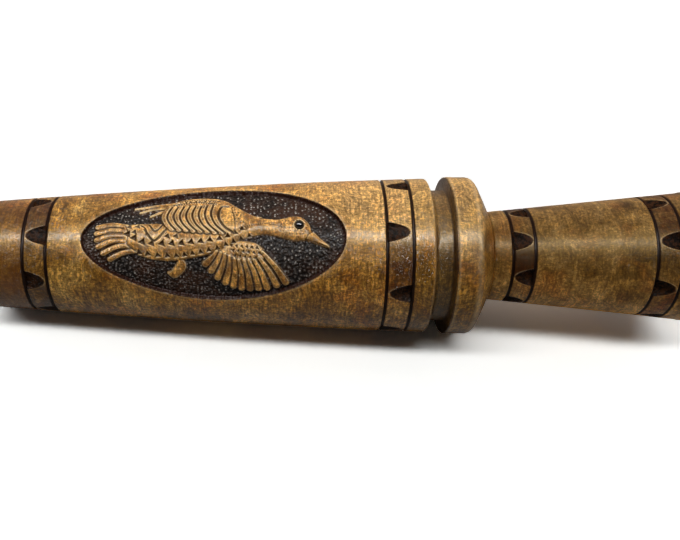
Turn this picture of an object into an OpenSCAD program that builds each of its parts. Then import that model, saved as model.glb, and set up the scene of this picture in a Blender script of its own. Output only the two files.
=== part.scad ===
// Turned wooden duck call: a carved barrel, a push-in insert with two O-ring seals, and a
// double-reed tone board held by a cork wedge.
// Frame: the call lies along X. The origin is the centre of the exhaust end face, +X points out of
// the exhaust, the mouth end is at -X, +Z is up, and the carved panel faces -Y and up.
// Every station named below is measured from the mouth lip, and in_frame() moves it to the origin.

/* [Barrel] */
// Length of the barrel from the mouth lip to the face that the insert butts against
barrel_l = 105.5; // [104:0.5:110]
// Radius of the barrel at the mouth lip
mouth_r = 11.1; // [10.6:0.05:11.4]
// Radius of the barrel at the shoulder beside the lanyard groove
shoulder_r = 16.8; // [16.2:0.05:17]
// How far the barrel's long curve stands above a straight taper, at its middle
belly = 0.56; // [0:0.02:0.8]
// Rounding of the mouth lip
lip_r = 1.3; // [0.6:0.1:1.6]
// Radius of the bore, the common 5/8 inch size
bore_r = 7.95; // [7.94:0.01:7.97]
// Radius of the bore where it opens at the mouth
mouth_flare_r = 8.9; // [8.2:0.1:9.2]

/* [Lanyard groove and collar] */
// Where the barrel's long curve ends and the lanyard groove begins
shoulder_x = 91.5; // [90.8:0.1:92]
// Rounding of the shoulder's edge
shoulder_round = 0.8; // [0.4:0.1:1]
// Length of the slope from the shoulder down to the groove's floor
groove_slope_l = 1.3; // [1.1:0.1:1.5]
// Width of the groove's floor
groove_floor_w = 3.3; // [2.6:0.1:3.5]
// Radius of the groove's floor
groove_r = 14.3; // [13.6:0.1:14.5]
// Radius of the collar
collar_r = 17.2; // [17:0.05:17.5]
// Rounding of the collar on its groove side
collar_round = 0.3; // [0.2:0.1:0.6]
// Where the collar's flat top ends
collar_end_x = 100.7; // [100:0.1:101]
// Rounding of the collar on its exhaust side
collar_edge = 1.6; // [1:0.1:2]
// Radius of the barrel's end face
barrel_end_r = 9.8; // [9.6:0.1:10.4]

/* [Carved panel] */
// Centre of the oval panel
panel_x = 47.6; // [46:0.1:49]
// Half the panel's length
panel_a = 26.4; // [26:0.1:27]
// Half the panel's height as seen square on
panel_b = 11.5; // [11:0.1:11.7]
// Depth of the panel's background
panel_depth = 0.9; // [0.5:0.1:1.2]
// How far the panel's centre leans from straight up towards -Y
panel_lean = 36.4; // [20:0.5:60]
// How far the duck stands above the middle of the panel
duck_rise = 0.5; // [0:0.1:0.6]
// Radius of the duck's eye bead
eye_r = 0.9; // [0.7:0.05:1.1]

/* [Turned rings and chip cuts] */
// Half the width of a burned ring line
ring_line_r = 0.34; // [0.2:0.02:0.4]
// Number of chip cuts around each band
chips = 8; // [6:2:10]
// Half the width of a chip cut
chip_half_w = 2.2; // [1.6:0.1:2.4]
// Depth of a chip cut at its ring line
chip_depth = 1.2; // [0.8:0.1:1.3]

/* [Insert] */
// Length of the insert outside the barrel
insert_l = 46; // [44:0.5:50]
// Radius of the insert where it meets the barrel
neck_r = 9.6; // [9.3:0.1:9.7]
// Radius of the insert at the exhaust end
exhaust_r = 14.45; // [13.5:0.05:14.6]
// Rounding of the exhaust end's outer edge
exhaust_round = 2; // [1:0.1:2.4]
// Radius of the exhaust bore, the common 3/8 inch size
exhaust_bore_r = 4.76; // [4.5:0.02:4.9]
// Length of the stem inside the barrel
stem_l = 25; // [24:0.5:27]
// Running clearance around the stem
stem_gap = 0.08; // [0.04:0.01:0.1]
// Radius of the socket that holds the tone board's spigot
socket_r = 5.5; // [5.4:0.05:5.6]
// Depth of the socket
socket_l = 22; // [20:0.5:24]

/* [O-rings] */
// Thickness of an O-ring
oring_d = 1.6; // [1.5:0.05:1.7]
// Gap between an O-ring and the faces around it
oring_gap = 0.03; // [0.02:0.01:0.05]
// Distance of the first O-ring from the stem's front face
oring_first = 5; // [4:0.5:6]
// Distance between the two O-rings
oring_pitch = 12; // [8:0.5:14]

/* [Tone board] */
// Length of the tone board in front of the insert
board_l = 48; // [46:0.5:52]
// Radius of the tone board
board_r = 7; // [6.8:0.05:7.2]
// Clearance around the tone board's spigot
spigot_gap = 0.04; // [0.02:0.01:0.08]
// Length of the closed head that holds the wedge
head_l = 12; // [11:0.5:13]
// Half the width of the air channel
channel_r = 2.5; // [2:0.1:2.6]
// Slope of the board's face away from the reeds
board_slope = 1.6; // [1.6:0.1:2]
// Height of the wedge slot above the board's face
slot_h = 3.4; // [3.2:0.1:3.5]
// Half the width of the wedge slot
slot_half_w = 5.3; // [5.2:0.05:5.35]

/* [Reeds and wedge] */
// Width of the reeds
reed_w = 10; // [9:0.1:10.2]
// Thickness of each reed
reed_t = 0.25; // [0.2:0.01:0.28]
// Gap under each reed
reed_gap = 0.025; // [0.02:0.005:0.03]
// How much shorter the upper reed is
upper_short = 2; // [1:0.5:4]
// Width of the cork wedge
wedge_w = 9.8; // [9:0.1:10]
// How far the wedge stands out of its slot
wedge_out = 2.5; // [1:0.5:4]

/* [Hidden] */
$fn = 96;
overall_l = barrel_l + insert_l;
stem_x = barrel_l - stem_l;
stem_r = bore_r - stem_gap;
board_tip_x = stem_x - board_l;
head_x = stem_x - head_l;
// Radius at which arcs across the panel are measured
panel_r = 14.6;
// Ring lines on the barrel and on the insert, and the turn of each band's first chip cut
mouth_band = [9.6, 14.2];
shoulder_band = [82.2, 87.5];
neck_band = [barrel_l + 4.1, barrel_l + 8.7];
exhaust_band = [barrel_l + 33.9, barrel_l + 39];
band_turns = [50, 3.5, 5, 45.5];
// Where the collar's groove side begins
collar_x = shoulder_x + groove_slope_l + groove_floor_w;

// ---- helpers ----

// Points of an arc in (radius, station) about a centre
function arc(c, r, a0, a1, n) =
    [for (i = [0 : n]) let (a = a0 + (a1 - a0) * i / n) [c[0] + r * cos(a), c[1] + r * sin(a)]];

// Radius of the barrel's long curve at a station
function barrel_r(x) = let (u = x / shoulder_x)
    mouth_r + (shoulder_r - mouth_r) * u + 4 * belly * u * (1 - u);

// Radius of the insert's taper at a station
function insert_r(x) = neck_r + (exhaust_r - neck_r) * (x - barrel_l) / insert_l;

// Catmull-Rom spline through a closed list of points, n steps a span
function spline(p, n) = let (m = len(p)) [
    for (i = [0 : m - 1]) for (k = [0 : n - 1])
        let (t = k / n, a = p[(i + m - 1) % m], b = p[i], c = p[(i + 1) % m], d = p[(i + 2) % m])
        (2 * b + (c - a) * t + (2 * a - 5 * b + 4 * c - d) * t * t
            + (3 * b - a - 3 * c + d) * t * t * t) / 2];

// Angle round the call, in degrees, of an arc length on the panel
function arc_angle(v) = v / panel_r * 180 / PI;

// Flattens a point of the panel, given along the axis and around the arc, to the view square on
function flat(p) = [p[0], panel_r * sin(arc_angle(p[1] + duck_rise))];

module in_frame() translate([-overall_l, 0, 0]) children();

// Turns a 2D (radius, station) outline about the call's axis
module turned() rotate([0, 90, 0]) rotate_extrude($fn = 180) children();

// A rod along X between two stations
module rod(r, x0, x1) translate([x0, 0, 0]) rotate([0, 90, 0]) cylinder(r = r, h = x1 - x0);

// One burned ring line
module ring_line(x, r) turned() translate([r, x]) circle(r = ring_line_r, $fn = 24);

// One gouge cut: square at its ring line, running out along +X
module chip(len) {
    gouge_r = (chip_half_w * chip_half_w + chip_depth * chip_depth) / (2 * chip_depth);
    lean = atan(chip_depth / len);
    intersection() {
        translate([0, -gouge_r, -2 * chip_depth]) cube([len + 1, 2 * gouge_r, 4 * chip_depth]);
        translate([0, 0, gouge_r - chip_depth]) rotate([0, 90 - lean, 0])
            cylinder(r = gouge_r, h = 4 * len, center = true);
    }
}

// A band: two ring lines with chip cuts that run from them by turns
module band(lines, r0, r1, turn) {
    width = lines[1] - lines[0];
    slope = atan((r1 - r0) / width);
    ring_line(lines[0], r0);
    ring_line(lines[1], r1);
    for (i = [0 : chips - 1])
        rotate([panel_lean - turn + i * 360 / chips, 0, 0])
            if (i % 2 == 0) translate([lines[0], 0, r0]) rotate([0, -slope, 0]) chip(0.9 * width);
            else translate([lines[1], 0, r1]) rotate([0, -slope, 0]) mirror([1, 0, 0])
                chip(0.9 * width);
}

// ---- the flying duck, in the panel's own coordinates ----

// Head, neck and body, from the bill's tip along the back and home along the belly
duck_body = [[22.9, -2.2], [19.4, 0.8], [18, 2.8], [15.6, 4.1], [12.9, 3.8], [7.5, 3.6],
    [3, 3.4], [-6, 3], [-14, 2.8], [-18, 2.6], [-17.4, -2.8], [-13.4, -4.6], [-7.4, -5],
    [-1.3, -4.4], [4.3, -2.2], [8.6, 0.2], [12.9, 0.2], [16, -0.6], [18.4, -1]];
// Wing on the far side, above the body
far_wing = [[10.5, 3.6], [7.5, 5.2], [5.3, 7], [3, 8.7], [0.2, 9.9], [-2.6, 10.3], [-8, 9.8],
    [-12.5, 8.4], [-16.4, 7], [-14.4, 5.6], [-11, 3.6], [-9, 1], [0, 0], [7, 1]];
// Wing on the near side, below the body
near_wing = [[6, 0], [8.6, -1.6], [9.9, -3.6], [11.4, -6], [14.5, -9.5], [12, -10.5],
    [8.2, -11], [4.6, -10.9], [0.9, -9.8], [-1.4, -7], [-2, -4.4], [1, -2]];
// Tail fan
tail = [[-16, 2.4], [-20, 3.8], [-23.5, 3.2], [-23.8, 0.6], [-23.2, -2.2], [-21.4, -5],
    [-18, -4.6], [-15, -3.6], [-14, 0]];
// Foot
foot = [[-5.6, -4], [-5.4, -7], [-7.7, -9], [-9.4, -8.1], [-8.4, -6.8], [-8, -4]];

module duck_shape() {
    for (outline = [duck_body, far_wing, near_wing, tail, foot])
        polygon([for (p = spline(outline, 4)) flat(p)]);
}

// The background around the duck, cut down to an even depth under the barrel's curve
module panel_cut() {
    difference() {
        translate([panel_x, 0, 0]) rotate([panel_lean, 0, 0]) linear_extrude(shoulder_r + 1)
            difference() {
                polygon([for (i = [0 : 71]) [panel_a * cos(5 * i), panel_b * sin(5 * i)]]);
                duck_shape();
            }
        turned() polygon(concat([[0, panel_x - panel_a - 2]],
            [for (i = [0 : 16]) let (x = panel_x + (panel_a + 2) * (i / 8 - 1))
                [barrel_r(x) - panel_depth, x]],
            [[0, panel_x + panel_a + 2]]));
    }
}

// ---- sub-parts ----

eye_at = [17, 2];
eye_x = panel_x + eye_at[0];
eye_turn = panel_lean - arc_angle(eye_at[1] + duck_rise);
eye_sink = 0.3;

// Turned and carved wooden barrel
module barrel() color([0.55, 0.31, 0.13]) in_frame() difference() {
    turned() polygon(concat(
        [[mouth_flare_r, 0]],
        arc([mouth_r - lip_r, lip_r], lip_r, -90, 0, 8),
        [for (i = [1 : 24]) let (x = lip_r + (shoulder_x - lip_r) * i / 24) [barrel_r(x), x]],
        arc([shoulder_r - shoulder_round, shoulder_x], shoulder_round, 15, 90, 5),
        [[groove_r, shoulder_x + groove_slope_l]],
        arc([collar_r - collar_round, collar_x + collar_round], collar_round, -90, 0, 8),
        arc([collar_r - collar_edge, collar_end_x], collar_edge, 0, 64, 6),
        [[barrel_end_r, barrel_l], [bore_r, barrel_l], [bore_r, 1.2]]));
    panel_cut();
    band(mouth_band, barrel_r(mouth_band[0]), barrel_r(mouth_band[1]), band_turns[0]);
    band(shoulder_band, barrel_r(shoulder_band[0]), barrel_r(shoulder_band[1]), band_turns[1]);
    rotate([eye_turn, 0, 0]) translate([eye_x, 0, barrel_r(eye_x) - eye_sink - eye_r])
        cylinder(r = eye_r + 0.03, h = 3);
}

// Glass bead eye, seated in its socket
module duck_eye() color([0.04, 0.035, 0.03]) in_frame()
    rotate([eye_turn, 0, 0]) translate([eye_x, 0, barrel_r(eye_x) - eye_sink]) sphere(r = eye_r);

// Turned wooden insert: the part that shows, and the stem with its seal grooves
module insert() color([0.42, 0.27, 0.13]) in_frame() difference() {
    turned() polygon(concat(
        [[socket_r, stem_x], [stem_r - 0.5, stem_x], [stem_r, stem_x + 0.5]],
        [[stem_r, barrel_l], [neck_r, barrel_l]],
        [[exhaust_r - exhaust_round * 0.1, overall_l - exhaust_round]],
        arc([exhaust_r - exhaust_round, overall_l - exhaust_round], exhaust_round, 10, 90, 8),
        [[exhaust_bore_r, overall_l]],
        [[exhaust_bore_r, stem_x + socket_l], [socket_r, stem_x + socket_l]]));
    for (i = [0 : 1]) turned()
        translate([oring_floor_r, oring_x(i) - oring_d / 2 - 0.2])
            square([2, oring_d + 0.4]);
    band(neck_band, insert_r(neck_band[0]), insert_r(neck_band[1]), band_turns[2]);
    band(exhaust_band, insert_r(exhaust_band[0]), insert_r(exhaust_band[1]), band_turns[3]);
}

oring_floor_r = bore_r - oring_d - 2 * oring_gap;
function oring_x(i) = stem_x + oring_first + oring_pitch * i;

module o_ring(i) color([0.05, 0.05, 0.05]) in_frame() turned()
    translate([bore_r - oring_gap - oring_d / 2, oring_x(i)]) circle(d = oring_d, $fn = 32);

// Rubber seal nearer the mouth
module o_ring_front() o_ring(0);

// Rubber seal nearer the exhaust
module o_ring_rear() o_ring(1);

// Moulded tone board: a sloped half-round board, a closed head with the wedge slot, and a spigot
module tone_board() color([0.86, 0.82, 0.7]) in_frame() difference() {
    union() {
        rod(board_r, board_tip_x, stem_x);
        rod(socket_r - spigot_gap, stem_x, stem_x + socket_l - 0.2);
    }
    translate([head_x, 0, 0]) rotate([0, -board_slope, 0])
        translate([-board_l, -board_r - 1, 0]) cube([board_l, 2 * board_r + 2, board_r + 4]);
    translate([head_x - 1, -slot_half_w, 0]) cube([head_l, 2 * slot_half_w, slot_h]);
    translate([0, 0, channel_z]) rod(channel_r, board_tip_x + 4, overall_l);
    translate([board_tip_x + 4, -channel_r, channel_z])
        cube([head_x - board_tip_x - 6, 2 * channel_r, 4]);
}

channel_z = -2.2;

module reed(tip_x, z) in_frame() translate([0, 0, z]) linear_extrude(reed_t)
    polygon([[tip_x + 2, -reed_w / 2], [tip_x, -reed_w / 2 + 2], [tip_x, reed_w / 2 - 2],
        [tip_x + 2, reed_w / 2], [stem_x - 1.5, reed_w / 2], [stem_x - 1.5, -reed_w / 2]]);

// Plastic reed that lies on the board
module reed_lower() color([0.93, 0.93, 0.88]) reed(board_tip_x + 0.5, reed_gap);

// Plastic reed that lies on the lower reed
module reed_upper() color([0.8, 0.86, 0.88])
    reed(board_tip_x + 0.5 + upper_short, 2 * reed_gap + reed_t);

// Cork wedge that clamps the reeds in the head
module cork_wedge() color([0.76, 0.58, 0.38]) in_frame() rotate([90, 0, 0])
    linear_extrude(wedge_w, center = true)
        polygon([[head_x - wedge_out, wedge_z], [head_x, wedge_z],
            [wedge_end_x, wedge_z + (wedge_end_x - head_x) * tan(board_slope)],
            [wedge_end_x, slot_h - 0.02], [head_x - wedge_out + 1, slot_h - 0.02],
            [head_x - wedge_out, slot_h - 0.6]]);

wedge_z = 2 * reed_t + 4 * reed_gap;
wedge_end_x = stem_x - 1.4;

barrel();
duck_eye();
insert();
tone_board();
reed_lower();
reed_upper();
cork_wedge();
o_ring_front();
o_ring_rear();
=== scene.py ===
"""Looks for a turned and carved wooden duck call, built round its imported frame.

Shapes are worked out in millimetres and in the CAD source's own terms: a station is measured along
the call from the mouth lip, and a lean is the angle from straight up towards -Y. solid() turns
them into metres in the shared frame.
"""
import math
import bpy
import numpy as np
from mathutils import Matrix, Vector

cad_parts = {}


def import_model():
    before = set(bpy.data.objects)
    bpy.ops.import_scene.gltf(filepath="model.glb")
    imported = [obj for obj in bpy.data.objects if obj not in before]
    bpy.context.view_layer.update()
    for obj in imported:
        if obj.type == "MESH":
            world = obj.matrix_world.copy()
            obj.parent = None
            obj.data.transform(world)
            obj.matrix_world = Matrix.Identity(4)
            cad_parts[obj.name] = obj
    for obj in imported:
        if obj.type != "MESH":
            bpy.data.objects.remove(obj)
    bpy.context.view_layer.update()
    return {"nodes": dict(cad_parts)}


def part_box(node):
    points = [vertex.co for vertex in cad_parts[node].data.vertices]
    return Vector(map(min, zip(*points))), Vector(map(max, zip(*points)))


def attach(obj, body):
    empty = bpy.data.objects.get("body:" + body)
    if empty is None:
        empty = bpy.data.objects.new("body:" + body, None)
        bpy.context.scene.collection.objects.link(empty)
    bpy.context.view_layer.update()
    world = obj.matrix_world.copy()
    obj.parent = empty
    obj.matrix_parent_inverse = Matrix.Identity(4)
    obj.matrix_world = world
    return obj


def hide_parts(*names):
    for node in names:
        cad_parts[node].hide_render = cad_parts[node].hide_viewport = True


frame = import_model()

# ---- sizes, in millimetres ----

MM = 0.001
MOUTH_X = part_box("barrel")[0].x / MM
BARREL_L = (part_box("barrel")[1].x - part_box("barrel")[0].x) / MM
STEM_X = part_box("insert")[0].x / MM - MOUTH_X
OVERALL_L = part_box("insert")[1].x / MM - MOUTH_X

MOUTH_R, SHOULDER_R, BELLY = 11.1, 16.8, 0.56
LIP_R = 1.3
BORE_R, MOUTH_FLARE_R = 7.95, 8.9
SHOULDER_X, GROOVE_SLOPE_L, GROOVE_FLOOR_W, GROOVE_R = 91.5, 1.3, 3.3, 14.3
COLLAR_X = SHOULDER_X + GROOVE_SLOPE_L + GROOVE_FLOOR_W
COLLAR_R, COLLAR_ROUND, COLLAR_END_X, COLLAR_EDGE = 17.2, 0.3, 100.7, 1.6
LAND_X = COLLAR_X + COLLAR_ROUND + 0.05
BARREL_END_R = 9.8
NECK_R, EXHAUST_R, EXHAUST_ROUND = 9.6, 14.45, 2.0
EXHAUST_BORE_R, SOCKET_R, SOCKET_L = 4.76, 5.5, 22.0
STEM_R = BORE_R - 0.08
SHOULDER_GAP = 0.02
SEAL_D, SEAL_GAP, SEAL_FIRST, SEAL_PITCH = 1.6, 0.03, 5.0, 12.0
SEAL_FLOOR_R = BORE_R - SEAL_D - 2 * SEAL_GAP

PANEL_X, PANEL_A, PANEL_B = 47.6, 26.4, 11.5
PANEL_LEAN, PANEL_R, PANEL_DEPTH = 36.4, 14.6, 0.9
DUCK_RISE = 0.5
EYE_AT = (17.0, 2.0)
EYE_LEAN = PANEL_LEAN - math.degrees((EYE_AT[1] + DUCK_RISE) / PANEL_R)

RING_HALF_W, RING_DEPTH = 0.36, 0.38
CHIPS, CHIP_HALF_W, CHIP_DEPTH = 8, 2.2, 1.2
STRIP_DARK, STRIP_PALE = 1.0, 0.25
# Each band is the stations of its two ring lines, and how far round its first chip is from the panel
MOUTH_BAND = ((9.6, 14.2), 50.0)
SHOULDER_BAND = ((82.2, 87.5), 3.5)
NECK_BAND = ((BARREL_L + 4.1, BARREL_L + 8.7), 5.0)
EXHAUST_BAND = ((BARREL_L + 33.9, BARREL_L + 39.0), 45.5)
BAND_MARGIN = 0.6


def barrel_r(x):
    """Radius of the barrel's long curve at a station."""
    u = x / SHOULDER_X
    return MOUTH_R + (SHOULDER_R - MOUTH_R) * u + 4 * BELLY * u * (1 - u)


def insert_r(x):
    """Radius of the insert's taper at a station."""
    return NECK_R + (EXHAUST_R - NECK_R) * (x - BARREL_L) / (OVERALL_L - BARREL_L)


# ---- curves and distances ----

def smooth(low, high, x):
    t = np.clip((x - low) / (high - low), 0, 1)
    return t * t * (3 - 2 * t)


def spline(points, closed=False, steps=6):
    """Catmull-Rom curve through a few points."""
    p = np.array(points, float)
    n = len(p)
    spans = n if closed else n - 1
    out = []
    for i in range(spans):
        if closed:
            a, b, c, d = p[i - 1], p[i], p[(i + 1) % n], p[(i + 2) % n]
        else:
            a, b, c, d = p[max(i - 1, 0)], p[i], p[i + 1], p[min(i + 2, n - 1)]
        for t in np.arange(steps) / steps:
            out.append(
                (2 * b + (c - a) * t + (2 * a - 5 * b + 4 * c - d) * t ** 2
                 + (3 * b - a - 3 * c + d) * t ** 3) / 2
            )
    if not closed:
        out.append(p[-1])
    return np.array(out)


def along(path, u, v):
    """Distance to an open path, and how far along it the nearest point is, from 0 to 1."""
    best = np.full(u.shape, 1e9)
    place = np.zeros(u.shape)
    lengths = np.hypot(*np.diff(path, axis=0).T)
    starts = np.concatenate([[0], np.cumsum(lengths)])
    for (ax, ay), (bx, by), length, start in zip(path[:-1], path[1:], lengths, starts):
        ex, ey = bx - ax, by - ay
        t = np.clip(((u - ax) * ex + (v - ay) * ey) / max(length ** 2, 1e-9), 0, 1)
        d = np.hypot(u - ax - t * ex, v - ay - t * ey)
        near = d < best
        best = np.where(near, d, best)
        place = np.where(near, start + t * length, place)
    return best, place / starts[-1]


def depth_inside(outline, u, v):
    """Distance to a closed outline: positive inside it, negative outside."""
    loop = np.vstack([outline, outline[:1]])
    d, _ = along(loop, u, v)
    inside = np.zeros(u.shape, bool)
    for (ax, ay), (bx, by) in zip(loop[:-1], loop[1:]):
        if ay != by:
            cross = (ay > v) != (by > v)
            inside ^= cross & (u < (bx - ax) * (v - ay) / (by - ay) + ax)
    return np.where(inside, d, -d)


def jitter(i, j, seed):
    """A repeatable random number from 0 to 1 for each grid cell."""
    x = np.sin(i * 127.1 + j * 311.7 + seed * 74.7) * 43758.5453
    return x - np.floor(x)


def bead_field(u, v, pitch, seed):
    """Distance to the nearest of many evenly scattered bead centres, in pitches, and its size."""
    gu, gv = np.floor(u / pitch), np.floor(v / pitch)
    best = np.full(u.shape, 9.0)
    size = np.zeros(u.shape)
    for di in (-1, 0, 1):
        for dj in (-1, 0, 1):
            i, j = gu + di, gv + dj
            cx = i + 0.15 + 0.7 * jitter(i, j, seed)
            cy = j + 0.15 + 0.7 * jitter(i, j, seed + 1)
            d = np.hypot(u / pitch - cx, v / pitch - cy)
            near = d < best
            best = np.where(near, d, best)
            size = np.where(near, jitter(i, j, seed + 2), size)
    return best, size


# ---- the carved panel: a flying duck, in arc millimetres from the panel's centre ----

BODY = [(19.4, 0.8), (19.1, 2.1), (18.2, 3.3), (17, 4), (15.5, 4.1), (14, 3.7), (12.6, 3.5),
        (11, 3.6), (9.5, 3.8), (7, 3.4), (4.6, 1.7), (2, 0.8), (-4, 0.8), (-8, 1.4),
        (-10.5, 3), (-13.5, 3.2), (-17, 3), (-18.4, 2.3), (-18.2, -1.4), (-16.5, -3),
        (-14.6, -4.3), (-12, -5.1), (-9, -5.4), (-6, -5), (-3, -4.4), (0.8, -3.4),
        (3.6, -2), (5.9, -0.8), (8, -0.2), (10.5, 0.1), (13, -0.4), (16, -1.2), (18, -1.1),
        (19, -0.4)]
BILL = [(18.6, 0.6), (19.8, 0.6), (21.4, -0.8), (23.1, -2.2), (22.6, -2.5), (20.4, -1.8),
        (18.2, -0.9), (17.8, 0)]
FAR_WING = [(9.6, 3.9), (7.9, 4.5), (6.2, 5.6), (4.4, 7), (3.3, 8), (2.2, 9), (0.4, 9.9),
            (-1.8, 10.4), (-3.9, 10.5), (-6, 10.2), (-8.1, 9.4), (-9.8, 8.2), (-10.4, 6),
            (-10.6, 4.4), (-9.4, 2), (-7, 1), (0, 0.4), (3.8, 0.5), (6.5, 1.8)]
NEAR_WING = [(4, -1.2), (7.6, -1.3), (9.4, -2.2), (10.3, -3.6), (10, -5), (7, -5.8),
             (4, -5.4), (1.5, -4.6), (-0.6, -4.2), (1, -3)]
FOOT = [(-6.9, -4.8), (-6, -4.8), (-5.4, -6.8), (-7.6, -9.2), (-9.3, -8), (-8.1, -7)]

# Each feather is a root, a middle and a tip
TAIL = [((-17.4, 2.5), (-20.4, 3), (-23.1, 2.4)), ((-17.6, 1.4), (-20.5, 1.6), (-23.3, 0.9)),
        ((-17.6, 0.2), (-20.5, 0.3), (-23.2, -0.7)), ((-17.2, -1), (-20.2, -0.9), (-22.9, -2.2)),
        ((-16.3, -2.1), (-19.2, -2.2), (-21.9, -3.7)),
        ((-15.2, -3.1), (-18, -3.6), (-20.5, -5))]
PRIMARIES = [((-7.6, 8.3), (-12, 7.9), (-16.1, 7.3)), ((-8, 7.2), (-12, 7), (-15, 6.1)),
             ((-8.6, 6.2), (-11, 5.8), (-12.8, 4.9))]
FIRST_SECONDARY = ((-9.2, 7.2), (-10.1, 4.8), (-9.6, 3), (-8.4, 1.5))
LAST_SECONDARY = ((0.2, 7.3), (-0.1, 4.9), (0.9, 2.4), (3, 0.4))
SECONDARIES = 9
NEAR_ROOTS = [(9.7, -3.4), (9, -4.4), (8, -4.8), (7, -5), (6, -5), (5, -4.9), (4.1, -4.6),
              (3.2, -4.2), (2.3, -3.8), (1.4, -3.5), (0.6, -3.2)]
NEAR_TIPS = [(14.3, -9.3), (12.5, -10), (10.6, -10.6), (8.9, -10.8), (7.2, -10.9), (5.5, -10.8),
             (3.9, -10.4), (2.3, -9.7), (0.8, -8.6), (-0.5, -7.2), (-1.6, -5.8)]
SCAPULAR = [(2.6, 6.9), (1.4, 6.9), (0.8, 5.4), (1, 3.6), (2.2, 1.8), (3.8, 0.7)]
SIDE_CUTS = [(-16.9, 0.3), (-15.6, -0.6), (-13.9, -1.5), (-12, -1.8), (-10, -1.8), (-8, -1.8),
             (-6.1, -1.7), (-4.2, -1.5), (-2.3, -1.3), (-0.5, -1), (1.4, -0.7), (3, -0.2),
             (4.5, 0.5), (5.8, 1.3)]
BELLY_CUTS = [(-14.8, -3.2), (-13.1, -3.5), (-11.1, -3.8), (-9.2, -3.9), (-7.4, -3.9),
              (-5.8, -3.7), (-4.2, -3.4), (-2.6, -3.1), (-1, -2.7), (0.7, -2.3), (2.4, -1.6),
              (3.9, -1), (5.4, -0.4), (7, 0.2)]
RUMP_CUTS = [(-16.6, 2.1), (-15, 2.2), (-9, -0.2), (-7.3, -0.2), (-15.6, 0.8)]
NECK_LINE = [(5.2, 1.7), (8, 2.3), (11, 2.4), (13.4, 1.8)]

# How far each layer of the carving runs past its outline
SOFT = 0.1


class Relief:
    """The carved surface: its height, how dark its stain is, and where the bare ground shows."""

    def __init__(self, u, v):
        self.u, self.v = u, v
        self.h = np.full(u.shape, -9.0)
        self.dark = np.zeros(u.shape)
        self.inside = np.full(u.shape, -9.0)

    def near(self, points, margin):
        """Only the points in the box round a shape, for speed."""
        low, high = np.min(points, 0) - margin, np.max(points, 0) + margin
        return np.flatnonzero((self.u > low[0]) & (self.u < high[0])
                              & (self.v > low[1]) & (self.v < high[1]))

    def raise_to(self, at, d, h, dark):
        """The highest layer wins. d is the distance inside its outline."""
        up = (h > self.h[at]) & (d > -SOFT)
        self.h[at] = np.where(up, h, self.h[at])
        self.dark[at] = np.where(up, dark, self.dark[at])
        self.inside[at] = np.maximum(self.inside[at], d)

    def mound(self, outline, edge, top, softness):
        """A rounded island inside an outline."""
        path = spline(outline, closed=True)
        at = self.near(path, SOFT)
        d = depth_inside(path, self.u[at], self.v[at])
        rise = 1 - np.exp(-np.maximum(d, 0) / softness)
        dark = 0.9 * np.exp(-np.maximum(d, 0) / 0.2)
        self.raise_to(at, d, edge + (top - edge) * rise, dark)

    def feather(self, path, w_root, w_tip, root, tip, lift):
        """A rounded bar that widens or narrows from its root to its round tip."""
        curve = spline(path)
        at = self.near(curve, max(w_root, w_tip) + SOFT)
        u, v = self.u[at], self.v[at]
        d, t = along(curve, u, v)
        w = w_root + (w_tip - w_root) * t
        q = np.clip(d / w, 0, 1)
        h = root + (tip - root) * t + lift * np.sqrt(1 - q ** 2)
        self.raise_to(at, w - d, h, smooth(0.45, 1, q) * 0.95)

    def line(self, path, half_w, depth, dark=0.9):
        """A V cut along a path."""
        curve = spline(path)
        at = self.near(curve, 2 * half_w)
        d, _ = along(curve, self.u[at], self.v[at])
        cut = np.clip(1 - d / half_w, 0, 1)
        self.h[at] -= depth * cut
        self.dark[at] = np.maximum(self.dark[at], dark * smooth(0, 0.5, cut))

    def notch(self, centre, turn, length, half_w, depth):
        """A triangular gouge cut: wide and deep at its back, running out to a point."""
        at = self.near([centre], length)
        du, dv = self.u[at] - centre[0], self.v[at] - centre[1]
        c, s = math.cos(math.radians(turn)), math.sin(math.radians(turn))
        p, q = du * c + dv * s + length / 2, -du * s + dv * c
        wall = np.minimum(p * 1.4, half_w * (1 - p / length) - np.abs(q))
        cut = np.clip(wall / (0.55 * half_w), 0, 1) * (0.45 + 0.55 * (1 - p / length))
        self.h[at] -= depth * cut
        self.dark[at] = np.maximum(self.dark[at], smooth(0, 0.45, cut))

    def dot(self, centre, r, depth):
        """A small round punch mark."""
        at = self.near([centre], r)
        d = np.hypot(self.u[at] - centre[0], self.v[at] - centre[1])
        cut = np.clip(1 - d / r, 0, 1)
        self.h[at] -= depth * cut
        self.dark[at] = np.maximum(self.dark[at], 0.85 * smooth(0, 0.6, cut))


def scatter_dots(relief, outline, pitch, r, depth, seed):
    """Punch marks in a jittered grid inside an outline."""
    path = spline(outline, closed=True)
    low, high = path.min(0), path.max(0)
    i, j = np.meshgrid(np.arange((high[0] - low[0]) / pitch), np.arange((high[1] - low[1]) / pitch))
    i, j = i.ravel(), j.ravel()
    cu = low[0] + (i + 0.5 * (j % 2) + 0.35 * jitter(i, j, seed)) * pitch
    cv = low[1] + (j + 0.35 * jitter(i, j, seed + 1)) * pitch
    for u, v, inside in zip(cu, cv, depth_inside(path, cu, cv)):
        if inside > r:
            relief.dot((u, v), r, depth)


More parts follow.
